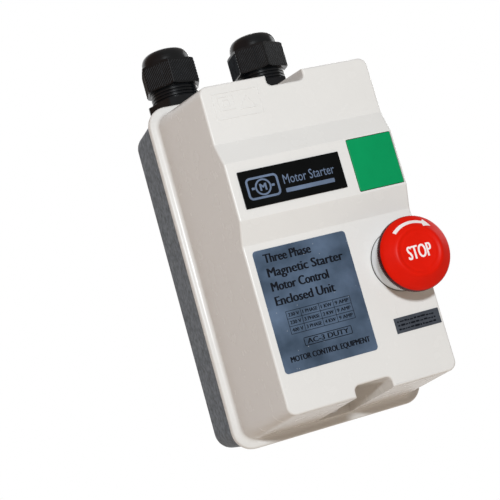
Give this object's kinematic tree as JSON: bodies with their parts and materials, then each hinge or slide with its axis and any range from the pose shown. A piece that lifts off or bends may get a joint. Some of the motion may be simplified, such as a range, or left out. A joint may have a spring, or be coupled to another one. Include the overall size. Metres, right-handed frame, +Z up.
{
  "type": "magnetic motor starter",
  "caption": "Enclosed magnetic motor starter with a stepped cover, square start button, twist-release mushroom stop button and two cable glands.",
  "frame": {"origin": "centre of the flat back face, midway between the wall screws", "axes": "+Z up towards the cable glands, -Y out of the front, +X to the right seen from the front"},
  "size_m": [0.123, 0.1545, 0.2531],
  "materials": {
    "housing_plastic": "fine textured grey, slightly mottled",
    "cover_plastic": "glossy ivory moulding",
    "seal_rubber": "matt black",
    "zinc_steel": "zinc plated",
    "nameplate_gloss": "glossy black",
    "label_foil": "silver-blue foil",
    "label_dark": "satin dark foil",
    "start_green": "satin green",
    "inner_plastic": "black thermoset",
    "block_plastic": "light grey",
    "spring_steel": "spring wire",
    "terminal_brass": "plain",
    "collar_plastic": "pale silver-white",
    "stop_red": "satin red",
    "gland_nylon": "black nylon",
    "core_steel": "laminated steel, ground faces",
    "bobbin_plastic": "natural nylon",
    "coil_copper": "enamelled copper wire",
    "carrier_plastic": "pale grey",
    "contact_copper": "bare copper",
    "reset_blue": "blue",
    "board_green": "green board",
    "wire_pvc": "red PVC sleeve"
  },
  "bodies": {
    "base": {"rear_housing": "housing_plastic", "cover_gasket": "seal_rubber", "gland_body_left": "gland_nylon", "gland_body_right": "gland_nylon", "gland_locknuts": "gland_nylon", "gland_washers": "seal_rubber", "mounting_plate": "zinc_steel", "plate_screws": "zinc_steel", "contactor_base": "inner_plastic", "magnet_core": "core_steel", "coil_bobbin": "bobbin_plastic", "coil_winding": "coil_copper", "return_springs": "spring_steel", "fixed_contacts": "contact_copper", "contactor_screws": "zinc_steel", "contactor_cover": "block_plastic", "overload_housing": "inner_plastic", "overload_links": "contact_copper", "overload_screws": "zinc_steel", "reset_spring": "spring_steel", "receiver_housing": "block_plastic", "receiver_board": "board_green", "receiver_relay": "reset_blue", "receiver_terminals": "board_green", "receiver_antenna": "contact_copper", "earth_bar": "terminal_brass", "earth_screws": "zinc_steel", "control_wires": "wire_pvc"},
    "cover": {"front_cover": "cover_plastic", "cover_screws": "zinc_steel", "nameplate": "nameplate_gloss", "rating_label": "label_foil", "small_label": "label_dark", "start_contact_block": "block_plastic", "start_spring": "spring_steel", "start_terminals": "terminal_brass", "stop_gasket": "seal_rubber", "stop_collar": "collar_plastic", "stop_barrel": "inner_plastic", "stop_locknut": "zinc_steel", "stop_spring": "spring_steel", "stop_contact_block": "block_plastic", "stop_terminals": "terminal_brass"},
    "start": {"start_button": "start_green", "start_plunger": "inner_plastic"},
    "stop_plunger": {"stop_stem": "inner_plastic"},
    "stop_mushroom": {"stop_head": "stop_red"},
    "contactor_moving": {"armature": "core_steel", "contact_carrier": "carrier_plastic", "moving_contacts": "contact_copper"},
    "dial": {"current_dial": "carrier_plastic"},
    "reset": {"reset_button": "reset_blue"},
    "gland_seal_left": {"gland_seal_left": "seal_rubber"},
    "gland_seal_right": {"gland_seal_right": "seal_rubber"},
    "gland_nut_left": {"gland_nut_left": "gland_nylon"},
    "gland_nut_right": {"gland_nut_right": "gland_nylon"}
  },
  "joints": [
    {"name": "cover_lift_off", "type": "slide", "parent": "base", "child": "cover", "axis": [0, -1, 0], "range_m": [0, 0.13]},
    {"name": "start_press", "type": "slide", "parent": "cover", "child": "start", "axis": [0, 1, 0], "range_m": [0, 0.0025], "stiffness_N_per_m": 400, "springref_m": -0.004, "deforming": ["start_spring"]},
    {"name": "stop_press", "type": "slide", "parent": "cover", "child": "stop_plunger", "axis": [0, 1, 0], "range_m": [0, 0.005], "stiffness_N_per_m": 900, "springref_m": -0.004, "deforming": ["stop_spring"]},
    {"name": "stop_twist", "type": "hinge", "parent": "stop_plunger", "child": "stop_mushroom", "pos_m": [0.0355, -0.144, -0.0257], "axis": [0, 1, 0], "range_deg": [0, 45], "stiffness_Nm_per_rad": 0.06, "springref_deg": -17.19},
    {"name": "armature_pull_in", "type": "slide", "parent": "base", "child": "contactor_moving", "axis": [0, 1, 0], "range_m": [0, 0.006], "stiffness_N_per_m": 500, "springref_m": -0.006, "deforming": ["return_springs"]},
    {"name": "dial_turn", "type": "hinge", "parent": "base", "child": "dial", "pos_m": [-0.026, -0.066, -0.028], "axis": [0, 1, 0], "range_deg": [-120, 120]},
    {"name": "reset_press", "type": "slide", "parent": "base", "child": "reset", "axis": [0, 1, 0], "range_m": [0, 0.003], "stiffness_N_per_m": 300, "springref_m": -0.003, "deforming": ["reset_spring"]},
    {"name": "gland_seal_travel_left", "type": "slide", "parent": "base", "child": "gland_seal_left", "axis": [0, 0, 1], "range_m": [0, 0.004]},
    {"name": "gland_nut_turn_left", "type": "hinge", "parent": "gland_seal_left", "child": "gland_nut_left", "pos_m": [-0.032, -0.0225, 0.13], "axis": [0, 0, 1], "range_deg": [0, 720]},
    {"name": "gland_seal_travel_right", "type": "slide", "parent": "base", "child": "gland_seal_right", "axis": [0, 0, 1], "range_m": [0, 0.004]},
    {"name": "gland_nut_turn_right", "type": "hinge", "parent": "gland_seal_right", "child": "gland_nut_right", "pos_m": [0.028, -0.0225, 0.13], "axis": [0, 0, 1], "range_deg": [0, 720]}
  ],
  "couplings": [
    {"joint": "gland_nut_turn_left", "follows": "gland_seal_travel_left", "rad_per_m": 3141.6},
    {"joint": "gland_nut_turn_right", "follows": "gland_seal_travel_right", "rad_per_m": 3141.6}
  ]
}
